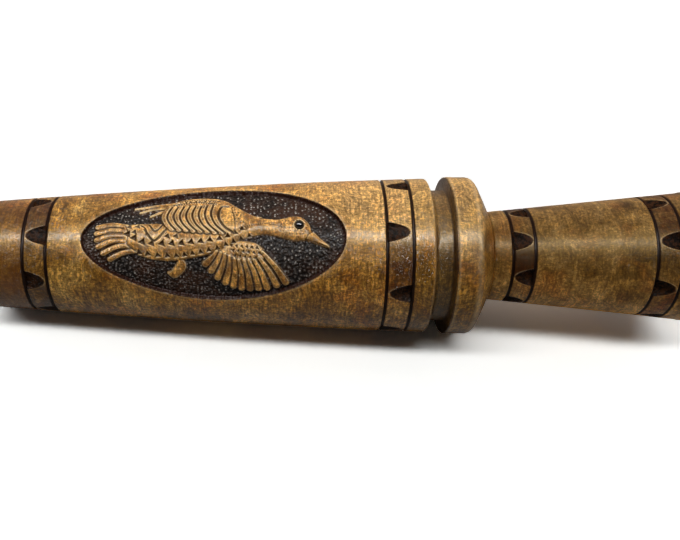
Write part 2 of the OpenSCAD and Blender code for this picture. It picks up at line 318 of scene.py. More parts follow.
def carve_duck(relief):
    """The duck, from the lowest layer to the highest, and then the cuts in it."""
    for path in TAIL:
        relief.feather(path, 0.6, 0.74, -0.5, -0.5, 0.3)
    relief.mound(FOOT, -0.6, -0.38, 0.3)
    for path in PRIMARIES:
        relief.feather(path, 0.62, 0.34, -0.4, -0.6, 0.28)
    relief.mound(FAR_WING, -0.62, -0.2, 0.7)
    first, last = np.array(FIRST_SECONDARY), np.array(LAST_SECONDARY)
    for k in range(SECONDARIES):
        t = k / (SECONDARIES - 1)
        relief.feather(first + (last - first) * t, 0.58, 0.62, -0.36, -0.34, 0.3)
    relief.mound(NEAR_WING, -0.5, -0.2, 0.7)
    for root, tip in zip(NEAR_ROOTS, NEAR_TIPS):
        root, tip = np.array(root), np.array(tip)
        bow = np.array([0.25, 0.1])
        relief.feather([root, (root + tip) / 2 + bow, tip], 0.44, 0.86, -0.38, -0.56, 0.3)
    relief.mound(BODY, -0.55, 0.02, 0.85)
    relief.mound(BILL, -0.5, -0.1, 0.4)

    for k in range(SECONDARIES - 1):
        t = (k + 0.5) / (SECONDARIES - 1)
        relief.line(first + (last - first) * t, 0.26, 0.3)
    relief.line(SCAPULAR, 0.36, 0.3)
    relief.line([(3.3, 6.4), (3.9, 4.4), (4.2, 2.4), (4, 1)], 0.22, 0.14, 0.5)
    relief.line([(-13.8, 1.6), (-11.8, -1), (-9.6, 1.5)], 0.3, 0.35)
    relief.line([(-12.9, 2.6), (-11.6, 1.1), (-10.2, 2.8)], 0.25, 0.2)
    relief.line([(-14.6, 2.6), (-13.6, 1.7), (-13.4, 0.4)], 0.22, 0.2)
    relief.line([(-17.6, 2.5), (-17, 0.6), (-17.2, -1.6), (-15.4, -3.2)], 0.2, 0.15, 0.6)
    relief.line([(19.6, 0.5), (18.8, 0.1), (18.3, -0.9)], 0.16, 0.14, 0.7)
    relief.line([(18.6, -0.9), (20.5, -1.55), (22.6, -2.25)], 0.12, 0.12, 0.7)
    for k, at in enumerate(SIDE_CUTS):
        relief.notch(at, -60 + 3 * k, 1.9 - 0.05 * k, 0.95 - 0.025 * k, 0.6)
    for k, at in enumerate(BELLY_CUTS):
        relief.notch(at, 100, 1.5 - 0.03 * k, 0.8 - 0.02 * k, 0.45)
    for at in RUMP_CUTS:
        relief.notch(at, -50, 1.4, 0.66, 0.42)
    for u, v in spline(NECK_LINE, steps=7):
        relief.notch((u, v), 80, 0.5, 0.22, 0.16)
    neck = [(6.5, 3.2), (5, 5.4), (2.6, 8), (3.6, 3.8), (4.6, 2.2), (8, 2.8), (12, 2.9), (10, 3.4)]
    head = [(12.6, 0.6), (13.2, 3), (15.6, 3.7), (17.6, 3.3), (18.7, 1.6), (18.2, -0.4),
            (16, -0.6)]
    coverts = [(-7.6, 7.9), (-4, 7.8), (0.6, 7.8), (1.6, 8.9), (-1.8, 10), (-6, 9.7)]
    scatter_dots(relief, neck, 0.72, 0.24, 0.14, 3)
    scatter_dots(relief, head, 0.7, 0.2, 0.1, 5)
    scatter_dots(relief, coverts, 0.95, 0.34, 0.26, 7)
    for k in range(2 * SECONDARIES):
        t = (k + 0.5) / (2 * SECONDARIES)
        relief.notch((-8.6 + 9 * t, 7.5 + 0.9 * math.sin(math.pi * t)), -80, 0.75, 0.34, 0.3)
        relief.notch((-7.9 + 8.6 * t, 8.6 + 0.9 * math.sin(math.pi * t)), -80, 0.6, 0.28, 0.24)
    for row, count in ((0, 6), (1, 6), (2, 5)):
        for k in range(count):
            at = (3.6 + 1.05 * k + 0.35 * row, -2.2 - 1.05 * row - 0.09 * k)
            relief.notch(at, -75 + 8 * k, 0.95, 0.36, 0.3)
    ring = np.hypot(relief.u - EYE_AT[0], relief.v - EYE_AT[1])
    relief.h += 0.05 * np.exp(-((ring - 1.14) / 0.16) ** 2)
    relief.h -= 0.9 * smooth(0.98, 0.9, ring)
    relief.dark = np.maximum(relief.dark, smooth(1.06, 0.94, ring))


def panel_surface(u, v):
    """Height, stain, bare ground and rim wear of the whole panel."""
    t = np.linspace(0, 2 * math.pi, 160, endpoint=False)
    oval = np.stack([PANEL_A * np.cos(t),
                     PANEL_R * np.arcsin(PANEL_B * np.sin(t) / PANEL_R)], 1)
    d = depth_inside(oval, u, v)
    relief = Relief(u, v - DUCK_RISE)
    carve_duck(relief)
    island = smooth(-SOFT, SOFT, relief.inside)
    bead, size = bead_field(u, v, 0.8, 11)
    dome = np.sqrt(np.clip(1 - (bead / (0.4 + 0.2 * size)) ** 2, 0, 1))
    floor = -PANEL_DEPTH - 0.04 + 0.12 * dome * (0.5 + 0.5 * size) * smooth(0.3, 0.7, d)
    h = floor + (np.maximum(relief.h, -PANEL_DEPTH) - floor) * island
    h *= smooth(-0.05, 0.32, d)
    inside = smooth(-0.08, 0.08, d)
    wear = np.exp(-((d + 0.2) / 0.14) ** 2)
    rim = inside * smooth(0.75, 0.35, d)
    return h, relief.dark * island * inside, (1 - island) * inside, wear, island * inside, rim


# ---- ring lines and chip cuts ----

def band_surface(x, lean, band, radius):
    """Height, burn, chip and strip masks of one band of rings and chip cuts."""
    lines, first = band
    width = lines[1] - lines[0]
    h = np.zeros(x.shape)
    burn = np.zeros(x.shape)
    for line in lines:
        d = np.abs(x - line) / RING_HALF_W
        h -= RING_DEPTH * np.clip(1 - d ** 2, 0, 1)
        burn = np.maximum(burn, smooth(1.25, 0.75, d))
    chip = np.zeros(x.shape)
    wear = np.zeros(x.shape)
    gouge_r = (CHIP_HALF_W ** 2 + CHIP_DEPTH ** 2) / (2 * CHIP_DEPTH)
    for k in range(CHIPS):
        line = lines[k % 2]
        reach = (x - line) * (1 if k % 2 == 0 else -1)
        turn = (lean - (PANEL_LEAN - first + k * 360 / CHIPS) + 180) % 360 - 180
        q = np.radians(turn) * radius(line)
        floor = reach * CHIP_DEPTH / (0.9 * width) - CHIP_DEPTH
        floor = floor + gouge_r - np.sqrt(np.clip(gouge_r ** 2 - q ** 2, 0, None))
        cut = (reach > -0.05) & (np.abs(q) < CHIP_HALF_W + 0.2) & (floor < 0)
        h = np.where(cut, np.minimum(h, floor), h)
        chip = np.where(cut, smooth(0.0, -0.1, floor), chip)
        close = (reach > 0.1) & (np.abs(q) < CHIP_HALF_W + 1)
        wear = np.where(close & ~cut, np.maximum(wear, np.exp(-(floor / 0.07) ** 2)), wear)
    part = np.floor((lean - PANEL_LEAN + first) * CHIPS / 360) % 2
    strip = ((x > lines[0]) & (x < lines[1])) * np.where(part == 0, STRIP_DARK, STRIP_PALE)
    return h, burn, chip, strip, wear


# ---- lofted solids ----

LATTICE = 720
COARSE = 12


def angles(index):
    """Lean of a lattice place, in degrees. The lattice starts opposite the carved panel."""
    return PANEL_LEAN + 180 + np.asarray(index) * 360 / LATTICE


def round_ring():
    return np.arange(0, LATTICE, COARSE)


def fine_ring(centres, half_deg):
    """Coarse all round, with every lattice place near some leans."""
    index = np.arange(LATTICE)
    keep = index % COARSE == 0
    for centre in centres:
        off = (angles(index) - centre + 180) % 360 - 180
        keep |= np.abs(off) < half_deg
    return index[keep]


def within(x, band):
    """Whether a station is in a band or just beside it."""
    return (x > band[0][0] - BAND_MARGIN) & (x < band[0][1] + BAND_MARGIN)


def band_ring(x, bands, radius):
    """Fine near the chips of the band that a station is in, or coarse between the bands."""
    for band in bands:
        if within(x, band):
            centres = [PANEL_LEAN - band[1] + k * 360 / CHIPS for k in range(CHIPS)]
            return fine_ring(centres, math.degrees((CHIP_HALF_W + 0.5) / radius(band[0][0])))
    return round_ring()


def panel_ring(x):
    """Fine across the oval panel."""
    s = 1 - ((x - PANEL_X) / PANEL_A) ** 2
    half = math.asin(PANEL_B * math.sqrt(max(s, 0)) / PANEL_R) if s > 0 else 0
    return fine_ring([PANEL_LEAN], math.degrees(half + 0.5 / PANEL_R))


def stations(marks):
    """Stations from mark to mark, each with the spacing that follows it."""
    out = []
    for (x, step), (x2, _) in zip(marks[:-1], marks[1:]):
        n = max(1, round((x2 - x) / step))
        out += [x + (x2 - x) * i / n for i in range(n)]
    return out + [marks[-1][0]]


def band_marks(band):
    """Close spacing over each ring line and even spacing between them."""
    a, b = band[0]
    return [(a - 0.5, 0.11), (a + 0.5, 0.2), (b - 0.5, 0.11), (b + 0.5, 0.8)]


def arc(x, r, size, start, stop, n):
    """Points of a profile arc; 0 degrees points away from the axis and 90 towards the exhaust."""
    a = np.radians(np.linspace(start, stop, n + 1))
    return [(x + size * math.sin(i), r + size * math.cos(i)) for i in a]


def loft(rings):
    """Faces of a closed solid through rings of (station, lattice places, radii)."""
    starts = np.cumsum([0] + [len(ring[1]) for ring in rings])
    faces = []
    for k, ring in enumerate(rings):
        other = rings[(k + 1) % len(rings)]
        base_a, base_b = int(starts[k]), int(starts[(k + 1) % len(rings)])
        a, b = ring[1].tolist() + [LATTICE], other[1].tolist() + [LATTICE]
        na, nb = len(a) - 1, len(b) - 1
        i = j = 0
        while i < na or j < nb:
            next_a = a[i + 1] if i < na else LATTICE + 1
            next_b = b[j + 1] if j < nb else LATTICE + 1
            here_a, here_b = base_a + i % na, base_b + j % nb
            if next_a == next_b:
                faces.append((here_a, base_a + (i + 1) % na, base_b + (j + 1) % nb, here_b))
                i, j = i + 1, j + 1
            elif next_a < next_b:
                faces.append((here_a, base_a + (i + 1) % na, here_b))
                i += 1
            else:
                faces.append((here_a, base_b + (j + 1) % nb, here_b))
                j += 1
    return faces


def placed(name, data):
    """A new object in the scene, from its mesh, lamp or camera data."""
    made = bpy.data.objects.new(name, data)
    bpy.context.scene.collection.objects.link(made)
    return made


def solid(name, points, faces, masks, material, body, node):
    """A piece with masks as vertex attributes, from points in metres in the shared frame."""
    mesh = bpy.data.meshes.new(name)
    mesh.from_pydata(points, [], faces)
    mesh.polygons.foreach_set("use_smooth", np.ones(len(mesh.polygons), bool))
    for key, values in masks.items():
        layer = mesh.attributes.new(key, "FLOAT", "POINT")
        layer.data.foreach_set("value", np.asarray(values, np.float32))
    mesh.materials.append(material)
    piece = placed(name, mesh)
    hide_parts(node)
    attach(piece, body)


def turned_piece(name, profile, carve, material, body, node):
    """A turned solid. profile lists (station, radius, lattice places, edge wear)."""
    rings = [(x, places, np.full(len(places), float(r))) for x, r, places, _ in profile]
    wear = np.concatenate([np.full(len(p[2]), float(p[3])) for p in profile])
    x = np.concatenate([np.full(len(ring[1]), ring[0]) for ring in rings])
    lean = np.concatenate([angles(ring[1]) for ring in rings])
    outer = np.concatenate([np.full(len(p[2]), p[1] > BORE_R + 0.7) for p in profile])
    h, masks = carve(x, lean, outer)
    masks["wear"] = np.maximum(masks["wear"], wear)
    ends = np.cumsum([len(ring[1]) for ring in rings])[:-1]
    rings = [(ring[0], ring[1], ring[2] + dh) for ring, dh in zip(rings, np.split(h, ends))]
    r = np.concatenate([ring[2] for ring in rings])
    turn = np.radians(lean)
    points = np.stack([x + MOUTH_X, -r * np.sin(turn), r * np.cos(turn)], 1) * MM
    solid(name, points.tolist(), loft(rings), masks, material, body, node)


def bare(points, wear=0):
    """Profile points away from the carving, with coarse rings and even wear."""
    return [(x, r, round_ring(), wear) for x, r in points]


def barrel_profile():
    """From inside the mouth lip, along the outside to the end face, and back down the bore."""
    out = bare(arc(LIP_R, MOUTH_R - LIP_R, LIP_R, -90, -9, 9), 0.3)
    panel = (PANEL_X - PANEL_A - 0.6, PANEL_X + PANEL_A + 0.6)
    marks = ([(LIP_R, 0.8)] + band_marks(MOUTH_BAND) + [(panel[0], 0.13), (panel[1], 0.8)]
             + band_marks(SHOULDER_BAND) + [(SHOULDER_X - 0.6, 0.3), (SHOULDER_X, 1)])
    for x in stations(marks):
        if abs(x - PANEL_X) < PANEL_A + 0.7:
            places = panel_ring(x)
        else:
            places = band_ring(x, (MOUTH_BAND, SHOULDER_BAND), barrel_r)
        out.append((x, barrel_r(x), places, 0))
    out += bare(arc(SHOULDER_X, SHOULDER_R - 0.5, 0.5, 15, 80, 5), 0.6)
    floor_x = SHOULDER_X + GROOVE_SLOPE_L
    out += bare([(floor_x - 0.35, GROOVE_R + 0.5), (floor_x, GROOVE_R),
                 (floor_x + 0.6, GROOVE_R - 0.02), (COLLAR_X - 0.4, GROOVE_R - 0.02),
                 (COLLAR_X - 0.05, GROOVE_R + 0.05)])
    out += bare(arc(COLLAR_X + COLLAR_ROUND, COLLAR_R - COLLAR_ROUND, COLLAR_ROUND, -90, -30, 5))
    out += bare([(LAND_X - 0.12, COLLAR_R - 0.16), (LAND_X, COLLAR_R - 0.16)])
    out += bare([(LAND_X + 0.08, COLLAR_R - 0.02)], 1) + bare([(LAND_X + 0.3, COLLAR_R)], 0.6)
    out += bare([(x, COLLAR_R) for x in np.linspace(LAND_X + 0.7, COLLAR_END_X - 0.4, 6)])
    for x, r in arc(COLLAR_END_X, COLLAR_R - COLLAR_EDGE, COLLAR_EDGE, 0, 64, 12):
        out += bare([(x, r)], 0.9 - abs(x - COLLAR_END_X - 0.3))
    start_x, start_r = out[-1][:2]
    for t in np.linspace(0.08, 0.94, 9):
        bulge = 0.1 * math.sin(math.pi * t)
        out += bare([(start_x + (BARREL_L - start_x) * t,
                      start_r + (BARREL_END_R - start_r) * t + bulge)])
    out += bare([(BARREL_L - 0.1, BARREL_END_R + 0.12)], 0.7)
    out += bare([(BARREL_L, BARREL_END_R - 0.1), (BARREL_L, BORE_R + 0.2), (BARREL_L - 0.2, BORE_R)])
    out += bare([(x, BORE_R) for x in np.linspace(BARREL_L - 1, 2.4, 30)])
    return out + bare([(1.2, BORE_R + 0.15), (0.5, BORE_R + 0.5), (0.1, MOUTH_FLARE_R)])


def carve_barrel(x, lean, outer):
    """Heights and masks over the whole barrel."""
    h = np.zeros(x.shape)
    masks = {key: np.zeros(x.shape) for key in
             ("dark", "ground", "wear", "burn", "chip", "strip", "duck")}
    u = x - PANEL_X
    v = np.radians((PANEL_LEAN - lean + 180) % 360 - 180) * PANEL_R
    at = np.flatnonzero(outer & (np.abs(u) < PANEL_A + 0.7) & (np.abs(v) < 14.5))
    h[at], *values = panel_surface(u[at], v[at])
    for key, value in zip(("dark", "ground", "wear", "duck", "burn"), values):
        masks[key][at] = value
    for band in (MOUTH_BAND, SHOULDER_BAND):
        cut_band(h, masks, x, lean, outer, band, barrel_r)
    land_line = outer * np.clip(1.3 - np.abs(x - LAND_X + 0.3) / 0.4, 0, 1)
    masks["burn"] = np.maximum(masks["burn"], 0.7 * land_line)
    return h, masks


def cut_band(h, masks, x, lean, outer, band, radius):
    at = np.flatnonzero(outer & within(x, band))
    bh, burn, chip, strip, wear = band_surface(x[at], lean[at], band, radius)
    h[at] += bh
    for key, values in (("burn", burn), ("chip", chip), ("strip", strip), ("wear", wear)):
        masks[key][at] = np.maximum(masks[key][at], values)


def insert_profile():
    """From the stem's end face, along the outside to the exhaust, and back down the bore and socket."""
    out = bare([(STEM_X, SOCKET_R + 0.2), (STEM_X, STEM_R - 0.5), (STEM_X + 0.15, STEM_R - 0.15),
                (STEM_X + 0.5, STEM_R)])
    for k in range(2):
        centre = STEM_X + SEAL_FIRST + SEAL_PITCH * k
        low, high = centre - SEAL_D / 2 - 0.2, centre + SEAL_D / 2 + 0.2
        out += bare([(low - 0.1, STEM_R), (low, STEM_R - 0.1), (low, SEAL_FLOOR_R),
                     (high, SEAL_FLOOR_R), (high, STEM_R - 0.1), (high + 0.1, STEM_R)])
    seat = BARREL_L + SHOULDER_GAP
    out += bare([(seat - 0.1, STEM_R), (seat, STEM_R + 0.05), (seat, NECK_R - 0.25),
                 (seat + 0.25, NECK_R)])
    round_x = OVERALL_L - EXHAUST_ROUND
    marks = [(BARREL_L + 0.8, 0.8)] + band_marks(NECK_BAND) + band_marks(EXHAUST_BAND) + [(round_x, 1)]
    out += [(x, insert_r(x), band_ring(x, (NECK_BAND, EXHAUST_BAND), insert_r), 0)
            for x in stations(marks)]
    out += bare(arc(round_x, EXHAUST_R - EXHAUST_ROUND, EXHAUST_ROUND, 12, 90, 9), 0.25)
    out += bare([(OVERALL_L, EXHAUST_BORE_R + 0.15), (OVERALL_L - 0.15, EXHAUST_BORE_R)])
    out += bare([(x, EXHAUST_BORE_R) for x in np.linspace(OVERALL_L - 1, STEM_X + SOCKET_L, 14)])
    return out + bare([(STEM_X + SOCKET_L, SOCKET_R), (STEM_X + 0.2, SOCKET_R)])


def carve_insert(x, lean, outer):
    h = np.zeros(x.shape)
    masks = {key: np.zeros(x.shape) for key in ("wear", "burn", "chip", "strip")}
    for band in (NECK_BAND, EXHAUST_BAND):
        cut_band(h, masks, x, lean, outer, band, insert_r)
    return h, masks


# ---- materials ----

def srgb(r, g, b):
    """A colour in everyday 0 to 255 values, as the renderer's linear one."""
    def linear(c):
        c /= 255
        return c / 12.92 if c <= 0.04045 else ((c + 0.055) / 1.055) ** 2.4
    return (linear(r), linear(g), linear(b), 1)


class Shader:
    """A material, with short names for the nodes it is built from. Sizes are in millimetres."""

    def __init__(self, name):
        self.material = bpy.data.materials.new(name)
        self.material.use_nodes = True
        self.tree = self.material.node_tree
        self.skin = self.tree.nodes["Principled BSDF"]

    def feed(self, socket, value):
        if isinstance(value, bpy.types.NodeSocket):
            self.tree.links.new(value, socket)
        else:
            socket.default_value = value

    def add(self, kind, feeds, **settings):
        """A node, its settings, and what feeds its inputs by name or by place."""
        made = self.tree.nodes.new("ShaderNode" + kind)
        for key, value in settings.items():
            setattr(made, key, value)
        for key, value in feeds.items():
            self.feed(made.inputs[key], value)
        return made

    def finish(self, **values):
        """Feeds the surface's own inputs, with _ for each space in a name."""
        for key, value in values.items():
            self.feed(self.skin.inputs[key.replace("_", " ")], value)
        return self.material

    def place(self, x=1.0, y=1.0, z=1.0):
        """Position on the piece in millimetres, stretched along each axis."""
        coords = self.add("TexCoord", {}).outputs["Object"]
        feeds = {"Vector": coords, "Scale": (x / MM, y / MM, z / MM)}
        return self.add("Mapping", feeds).outputs[0]

    def noise(self, at, size, detail=3.0, rough=0.55, twist=0.0):
        feeds = {"Vector": at, "Scale": 1 / size, "Detail": detail, "Roughness": rough,
                 "Distortion": twist}
        return self.add("TexNoise", feeds).outputs["Fac"]

    def cells(self, at, size, output="Distance", flat=False):
        return self.add("TexVoronoi", {"Vector": at, "Scale": 1 / size},
                        voronoi_dimensions="2D" if flat else "3D").outputs[output]

    def unrolled(self, radius, shift=0.0):
        """Station and arc length round the axis, as flat coordinates."""
        part = self.add("SeparateXYZ", {0: self.place()}).outputs
        turn = self.math("ARCTAN2", self.times(part[1], -1.0), part[2])
        v = self.math("ADD", self.times(turn, radius), shift)
        return self.add("CombineXYZ", {0: part[0], 1: v}).outputs[0]

    def dome(self, at, size, reach):
        """Round beads in flat cells: 1 at each centre, falling to 0 at its edge."""
        d = self.times(self.cells(at, size, flat=True), 1 / reach)
        rest = self.math("MAXIMUM", self.math("SUBTRACT", 1.0, self.times(d, d)), 0.0)
        return self.math("SQRT", rest)

    def math(self, operation, a, b=0.0):
        return self.add("Math", {0: a, 1: b}, operation=operation).outputs[0]

    def times(self, a, b):
        return self.math("MULTIPLY", a, b)

    def vector(self, operation, a, b, output=0):
        return self.add("VectorMath", {0: a, 1: b}, operation=operation).outputs[output]

    def window(self, value, low, high, out_low=0.0, out_high=1.0):
        """A smooth step of a value between two levels."""
        feeds = {"Value": value, "From Min": low, "From Max": high, "To Min": out_low,
                 "To Max": out_high}
        return self.add("MapRange", feeds, interpolation_type="SMOOTHSTEP").outputs[0]

    def ramp(self, value, stops):
        """A colour ramp from (level, colour) stops."""
        made = self.add("ValToRGB", {"Fac": value})
        elements = made.color_ramp.elements
        while len(elements) < len(stops):
            elements.new(0.5)
        for element, (level, colour) in zip(elements, stops):
            element.position, element.color = level, colour
        return made.outputs["Color"]

    def mix(self, amount, a, b, blend="MIX"):
        feeds = {0: amount, 6: a, 7: b}
        return self.add("Mix", feeds, data_type="RGBA", blend_type=blend).outputs[2]

    def mask(self, name):
        return self.add("Attribute", {}, attribute_name=name).outputs["Fac"]

    def bump(self, height, rise, under=None):
        """A bump of a height map, with its full rise in millimetres, on top of another."""
        feeds = {"Height": height, "Distance": rise * MM}
        if under:
            feeds["Normal"] = under
        return self.add("Bump", feeds).outputs[0]


def figured_maple(name, tones, red, gloss, carved):
    """Stained, figured maple under lacquer, with burnt rings and chips, and some light and shade
    painted by place.

    tones run from the deepest stain to the palest, red is the warm stain in the figure, gloss is
    how thick the lacquer is, and carved adds the finishes that only the barrel has.
    """
    s = Shader(name)
    at = s.place()
    warp = s.add("TexNoise", {"Vector": s.place(0.6), "Scale": 1 / 9, "Detail": 2}).outputs["Color"]
    bent = s.vector("ADD", at, s.vector("MULTIPLY", warp, (5.5, 5.5, 5.5)))

    cloud = s.noise(bent, 11, 4, 0.6)
    patch = s.noise(bent, 4.2, 4, 0.62, 0.6)
    level = s.math("ADD", s.times(cloud, 0.6), s.times(patch, 0.4))
    colour = s.ramp(level, [(0.38, tones[0]), (0.46, tones[1]), (0.53, tones[2]), (0.62, tones[3])])
    warm = s.window(s.noise(bent, 7.5, 3, 0.55), 0.5, 0.66)
    colour = s.mix(s.times(warm, 0.42), colour, red)

    fleck_at = s.vector("MULTIPLY", bent, (0.45, 1.0, 1.0))
    streak = s.noise(s.vector("MULTIPLY", bent, (1.0, 0.4, 0.4)), 0.46, 3, 0.75)
    fleck = s.noise(fleck_at, 0.42, 3, 0.75)
    turned = s.noise(s.place(1, 0.05, 0.05), 0.4, 2, 0.6)
    fibre = s.math("ADD", s.math("ADD", s.times(streak, 0.42), s.times(fleck, 0.4)),
                   s.times(turned, 0.18))
    tone = s.ramp(fibre, [(0.42, (0.26, 0.22, 0.16, 1)), (0.485, (0.8, 0.78, 0.73, 1)),
                          (0.525, (1.12, 1.1, 1.02, 1)), (0.58, (2.6, 2.45, 2.0, 1))])
    colour = s.mix(0.9 if carved else 0.62, colour, tone, "MULTIPLY")
    pore = s.window(s.noise(fleck_at, 0.26, 2, 0.5), 0.6, 0.7)
    colour = s.mix(s.times(pore, 0.6), colour, tones[0])

    strip = s.times(s.mask("strip"), s.window(s.noise(at, 2.4, 3), 0.35, 0.6, 0.6, 1))
    colour = s.mix(strip, colour, s.mix(0.7, srgb(78, 42, 15), tone, "MULTIPLY"))
    part = s.add("SeparateXYZ", {0: at}).outputs
    x, z = s.math("SUBTRACT", part[0], MOUTH_X), part[2]
    if carved:
        left = s.window(x, 45, MOUTH_BAND[0][1])
        colour = s.mix(s.times(left, 0.6), colour, (0.66, 0.7, 0.62, 1), "MULTIPLY")
        # A paler, less saturated top over the middle of the body: partly the wood's own tone, partly
        # painted light and reflection on the top.
        crown = s.times(s.window(z, 11, 16), s.window(x, 58, 78))
        paler_top_colour = s.mix(0.8, srgb(196, 158, 102), tone, "MULTIPLY")
        colour = s.mix(s.times(crown, 0.5), colour, paler_top_colour)
        # The mouth end's red-brown stain, mixed in more towards the bottom than the top. That lower
        # darkening is painted shade.
        mouth = s.window(x, MOUTH_BAND[0][0] + 0.4, MOUTH_BAND[0][0] - 0.4)
        mouth = s.times(mouth, s.window(z, 11, 4, 0.3, 0.75))
        colour = s.mix(mouth, colour, srgb(96, 50, 14))
        # The collar is made darker, and darker still towards its bottom. That lower gradient is painted
        # shade.
        collar = s.window(x, SHOULDER_BAND[0][1], SHOULDER_BAND[0][1] + 0.5)
        collar_tone_and_painted_shade = s.mix(s.window(z, 6, 15), (0.63, 0.63, 0.55, 1), (0.8, 0.8, 0.76, 1))
        colour = s.mix(collar, colour, collar_tone_and_painted_shade, "MULTIPLY")
        groove = s.times(s.window(x, SHOULDER_X + 0.6, SHOULDER_X + 1),
                         s.window(x, LAND_X, LAND_X - 0.5))
        colour = s.mix(s.times(groove, 0.6), colour, srgb(70, 54, 36))
    else:
        # Painted light and shade: the insert's underside is painted three to four times paler and its
        # top about two thirds as bright, standing in for how the lamps fall. It turns with the insert.
        painted_light_and_shade = s.window(z, -9, 9)
        colour = s.mix(1, colour, s.mix(painted_light_and_shade, (3.0, 3.1, 3.8, 1), (0.66, 0.67, 0.75, 1)), "MULTIPLY")
        neck = s.window(x, NECK_BAND[0][1] + 0.2, NECK_BAND[0][1] - 0.2)
        neck = s.times(s.times(neck, s.mask("strip")), 0.75)
        colour = s.mix(neck, colour, srgb(44, 20, 8))
    wear = s.times(s.mask("wear"), s.window(s.noise(at, 1.6, 2), 0.3, 0.7, 0.25, 0.8))
    colour = s.mix(s.times(wear, 0.6), colour, srgb(226, 190, 138))
    burn, chip = s.mask("burn"), s.mask("chip")
    colour = s.mix(s.times(burn, 0.985), colour, srgb(28, 13, 6))
    char = s.mix(s.window(s.noise(at, 0.9, 4, 0.7), 0.42, 0.6), srgb(14, 8, 5), srgb(54, 30, 13))
    colour = s.mix(s.times(chip, 0.99), colour, char)

    sparkle = s.noise(at, 0.26, 2, 0.6)
    flaw = s.window(s.noise(at, 0.34, 2, 0.6), 0.5, 0.7)
    coat = s.window(s.noise(at, 6, 2), 0.3, 0.7, 0.65 * gloss, gloss)
    coat = s.times(coat, s.window(burn, 0, 1, 1, 0.1))
    coat = s.times(coat, s.window(chip, 0, 1, 1, 0.12))
    coat = s.times(coat, s.window(flaw, 0, 0.6, 0.25, 1))
    shine = s.times(s.window(burn, 0, 1, 0.2 + 0.15 * gloss, 0.12), s.window(chip, 0, 1, 1, 0.15))
    rough = s.window(fibre, 0.35, 0.65, 0.42, 0.28)
    rise = s.times(s.window(chip, 0, 1, 0, 1), s.noise(at, 0.7, 3, 0.7))
    normal = s.bump(rise, 0.35, s.bump(fibre, 0.035, s.bump(sparkle, 0.035)))
    coat_normal = s.bump(rise, 0.35, s.bump(flaw, 0.04, s.bump(sparkle, 0.02)))
    plain = s.math("MAXIMUM", chip, burn)
    if carved:
        colour, normal, coat_normal, coat, shine, plain = panel_finish(
            s, at, bent, tone, colour, normal, coat_normal, coat, shine, plain)
    glow = s.mix(plain, srgb(255, 222, 150), (1, 1, 1, 1))
    return s.finish(Base_Color=colour, Roughness=rough, Normal=normal, Specular_Tint=glow,
                    Specular_IOR_Level=shine, Coat_Weight=coat, Coat_IOR=1.7,
                    Coat_Roughness=0.06, Coat_Normal=coat_normal)


def panel_finish(s, at, bent, tone, colour, normal, coat_normal, coat, shine, plain):
    """The duck's antiqued gold with painted highlights on its crests, its dark cuts, and the black
    beaded ground with painted glints on its beads.
    """
    duck, ground = s.mask("duck"), s.mask("ground")
    crest = s.add("NewGeometry", {}).outputs["Pointiness"]
    gold = s.mix(s.window(s.noise(bent, 2.2, 4, 0.65), 0.38, 0.64), srgb(122, 78, 32),
                 srgb(206, 154, 84))
    gold = s.mix(0.75, gold, tone, "MULTIPLY")
    gold = s.mix(s.window(crest, 0.497, 0.44), gold, srgb(50, 26, 10))
    # The crests are painted near-white: partly rubbed wear, mostly a painted highlight.
    gold = s.mix(s.window(crest, 0.508, 0.55, 0, 0.9), gold, srgb(246, 214, 158))
    colour = s.mix(s.times(duck, 0.9), colour, gold)
    stain = s.window(s.math("ADD", s.mask("dark"), s.times(s.noise(at, 0.5), 0.25)), 0.2, 0.9)
    colour = s.mix(s.times(stain, 0.92), colour, srgb(46, 23, 9))

    beads = s.unrolled(PANEL_R)
    dome = s.times(s.dome(beads, 0.7, 0.52), ground)
    # Painted glints: a small bright spot a little off the centre of a random share of the beads, as a
    # painted highlight.
    glint = s.dome(s.unrolled(PANEL_R, -0.12), 0.7, 0.26)
    lucky = s.add("SeparateColor", {0: s.cells(beads, 0.7, "Color", True)}).outputs[0]
    glint = s.times(s.window(glint, 0.2, 0.8), s.window(lucky, 0.45, 1, 0, 1))
    brown = s.window(s.noise(at, 6, 3), 0.42, 0.62)
    black = s.mix(brown, srgb(24, 18, 15), srgb(58, 34, 20))
    black = s.mix(s.times(dome, 0.35), black, srgb(70, 54, 42))
    black = s.mix(s.times(glint, 0.75), black, srgb(206, 198, 188))
    colour = s.mix(ground, colour, black)
    rim = s.times(s.mask("burn"), ground)
    colour = s.mix(rim, colour, srgb(48, 22, 10))
    normal = s.bump(dome, 0.28, normal)
    coat_normal = s.bump(dome, 0.28, coat_normal)
    coat = s.times(coat, s.window(ground, 0, 1, 1, 0.25))
    shine = s.mix(ground, shine, (0.14, 0.14, 0.14, 1))
    return colour, normal, coat_normal, coat, shine, s.math("MAXIMUM", plain, ground)


def moulded_plastic(name):
    """Ivory moulded plastic with a faint flow pattern, fine texture and softened edges."""
    s = Shader(name)
    flow = s.noise(s.place(0.25), 2.2, 4, 0.6, 1.5)
    colour = s.ramp(flow, [(0.3, srgb(206, 196, 164)), (0.55, srgb(228, 219, 190)),
                           (0.75, srgb(238, 231, 208))])
    soft = s.add("Bevel", {"Radius": 0.12 * MM}, samples=4).outputs[0]
    grit = s.noise(s.place(), 0.22, 2)
    return s.finish(Base_Color=colour, Roughness=s.window(grit, 0.3, 0.7, 0.3, 0.42),
                    Normal=s.bump(grit, 0.01, soft), Subsurface_Weight=0.15,
                    Subsurface_Radius=(0.002, 0.0016, 0.001))


